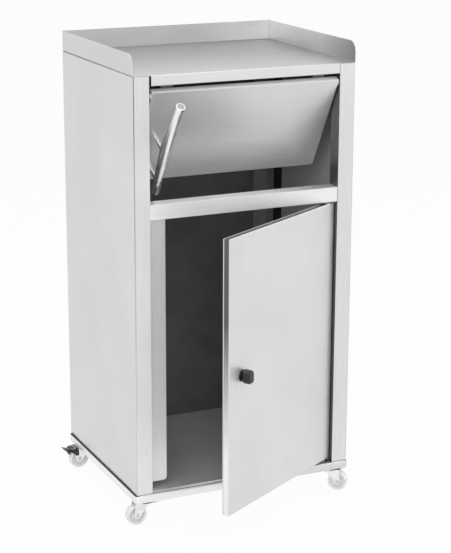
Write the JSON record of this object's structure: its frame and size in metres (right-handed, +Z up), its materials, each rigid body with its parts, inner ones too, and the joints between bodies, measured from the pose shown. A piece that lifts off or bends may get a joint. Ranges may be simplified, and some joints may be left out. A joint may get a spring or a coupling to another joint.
{
  "type": "waste bin cabinet",
  "caption": "Stainless steel waste bin cabinet on swivel casters, with a push-in flap and bent handle over a hinged lower door with a quarter-turn latch, and upstands round the top.",
  "frame": {"origin": "on the ground, under the middle of the space that the cabinet takes up with its door ajar", "axes": "+Z up, +X to the right of someone facing the front, +Y from the front to the back"},
  "size_m": [0.6212, 0.6873, 1.144],
  "materials": {
    "frame_steel": "satin brushed stainless steel",
    "panel_steel": "satin brushed stainless sheet",
    "worktop_steel": "satin brushed stainless sheet",
    "door_steel": "satin brushed stainless sheet",
    "inner_steel": "mill finish stainless sheet",
    "polished_steel": "polished stainless steel",
    "zinc": "bright zinc plated steel",
    "black_plastic": "moulded, slight sheen",
    "nylon": "natural nylon",
    "wheel_tread": "milky polyurethane",
    "wheel_hub": "off-white moulded plastic"
  },
  "bodies": {
    "cabinet": {"front_left_post": "frame_steel", "front_right_post": "frame_steel", "rear_left_post": "frame_steel", "rear_right_post": "frame_steel", "left_side_panel": "panel_steel", "right_side_panel": "panel_steel", "back_panel": "panel_steel", "worktop": "worktop_steel", "mid_rail": "frame_steel", "base_front_tube": "frame_steel", "base_right_tube": "frame_steel", "base_rear_tube": "frame_steel", "base_left_tube": "frame_steel", "base_gussets": "inner_steel", "bin_floor": "inner_steel", "latch_strip": "inner_steel", "upper_hinge_bracket": "zinc", "lower_hinge_bracket": "zinc", "flap_pivot_pins": "polished_steel", "flap_stops": "inner_steel", "caster_bolts": "zinc", "front_left_caster_plate": "zinc", "front_right_caster_plate": "zinc", "rear_left_caster_plate": "zinc", "rear_right_caster_plate": "zinc"},
    "door": {"door_outer_skin": "door_steel", "door_inner_skin": "inner_steel", "door_upper_bush": "nylon", "door_lower_bush": "nylon", "latch_body": "black_plastic", "latch_nut": "zinc"},
    "latch": {"latch_grip": "black_plastic", "latch_cam": "zinc", "latch_cam_screw": "zinc"},
    "flap": {"flap_panel": "door_steel", "flap_bushes": "nylon", "flap_handle": "polished_steel", "handle_stays": "polished_steel", "handle_end_plugs": "nylon", "handle_screws": "zinc"},
    "front_left_swivel": {"front_left_caster_fork": "zinc", "front_left_axle": "zinc"},
    "front_left_wheel": {"front_left_wheel_tread": "wheel_tread", "front_left_wheel_hub": "wheel_hub"},
    "front_right_swivel": {"front_right_caster_fork": "zinc", "front_right_axle": "zinc"},
    "front_right_wheel": {"front_right_wheel_tread": "wheel_tread", "front_right_wheel_hub": "wheel_hub"},
    "rear_left_swivel": {"rear_left_caster_fork": "zinc", "rear_left_axle": "zinc"},
    "rear_left_wheel": {"rear_left_wheel_tread": "wheel_tread", "rear_left_wheel_hub": "wheel_hub"},
    "rear_left_brake": {"rear_left_brake_pedal": "black_plastic"},
    "rear_right_swivel": {"rear_right_caster_fork": "zinc", "rear_right_axle": "zinc"},
    "rear_right_wheel": {"rear_right_wheel_tread": "wheel_tread", "rear_right_wheel_hub": "wheel_hub"},
    "rear_right_brake": {"rear_right_brake_pedal": "black_plastic"}
  },
  "joints": [
    {"name": "door_hinge", "type": "hinge", "parent": "cabinet", "child": "door", "pos_m": [0.23307, -0.11608, 0.424], "axis": [0, 0, 1], "range_deg": [-30.7, 80]},
    {"name": "latch_turn", "type": "hinge", "parent": "door", "child": "latch", "pos_m": [-0.09109, -0.30856, 0.424], "axis": [-0.5105, 0.8599, 0], "range_deg": [-90, 0]},
    {"name": "flap_hinge", "type": "hinge", "parent": "cabinet", "child": "flap", "pos_m": [0.01287, -0.11789, 1.047], "axis": [1, 0, 0], "range_deg": [-29.5, 45]},
    {"name": "front_left_caster_swivel", "type": "hinge", "parent": "cabinet", "child": "front_left_swivel", "pos_m": [-0.24213, -0.09538, 0.058], "axis": [0, 0, 1], "continuous": true},
    {"name": "front_left_wheel_roll", "type": "hinge", "parent": "front_left_swivel", "child": "front_left_wheel", "pos_m": [-0.26413, -0.09538, 0.025], "axis": [0, -1, 0], "continuous": true},
    {"name": "front_right_caster_swivel", "type": "hinge", "parent": "cabinet", "child": "front_right_swivel", "pos_m": [0.26787, -0.09538, 0.058], "axis": [0, 0, 1], "continuous": true},
    {"name": "front_right_wheel_roll", "type": "hinge", "parent": "front_right_swivel", "child": "front_right_wheel", "pos_m": [0.28544, -0.10862, 0.025], "axis": [0.6018, 0.7986, 0], "continuous": true},
    {"name": "rear_left_caster_swivel", "type": "hinge", "parent": "cabinet", "child": "rear_left_swivel", "pos_m": [-0.24213, 0.30961, 0.058], "axis": [0, 0, 1], "continuous": true},
    {"name": "rear_left_wheel_roll", "type": "hinge", "parent": "rear_left_swivel", "child": "rear_left_wheel", "pos_m": [-0.26413, 0.30961, 0.025], "axis": [0, -1, 0], "continuous": true},
    {"name": "rear_left_brake_press", "type": "hinge", "parent": "rear_left_swivel", "child": "rear_left_brake", "pos_m": [-0.27813, 0.30961, 0.052], "axis": [0, -1, 0], "range_deg": [0, 15]},
    {"name": "rear_right_caster_swivel", "type": "hinge", "parent": "cabinet", "child": "rear_right_swivel", "pos_m": [0.26787, 0.30961, 0.058], "axis": [0, 0, 1], "continuous": true},
    {"name": "rear_right_wheel_roll", "type": "hinge", "parent": "rear_right_swivel", "child": "rear_right_wheel", "pos_m": [0.24587, 0.30961, 0.025], "axis": [0, -1, 0], "continuous": true},
    {"name": "rear_right_brake_press", "type": "hinge", "parent": "rear_right_swivel", "child": "rear_right_brake", "pos_m": [0.23187, 0.30961, 0.052], "axis": [0, -1, 0], "range_deg": [0, 15]}
  ]
}
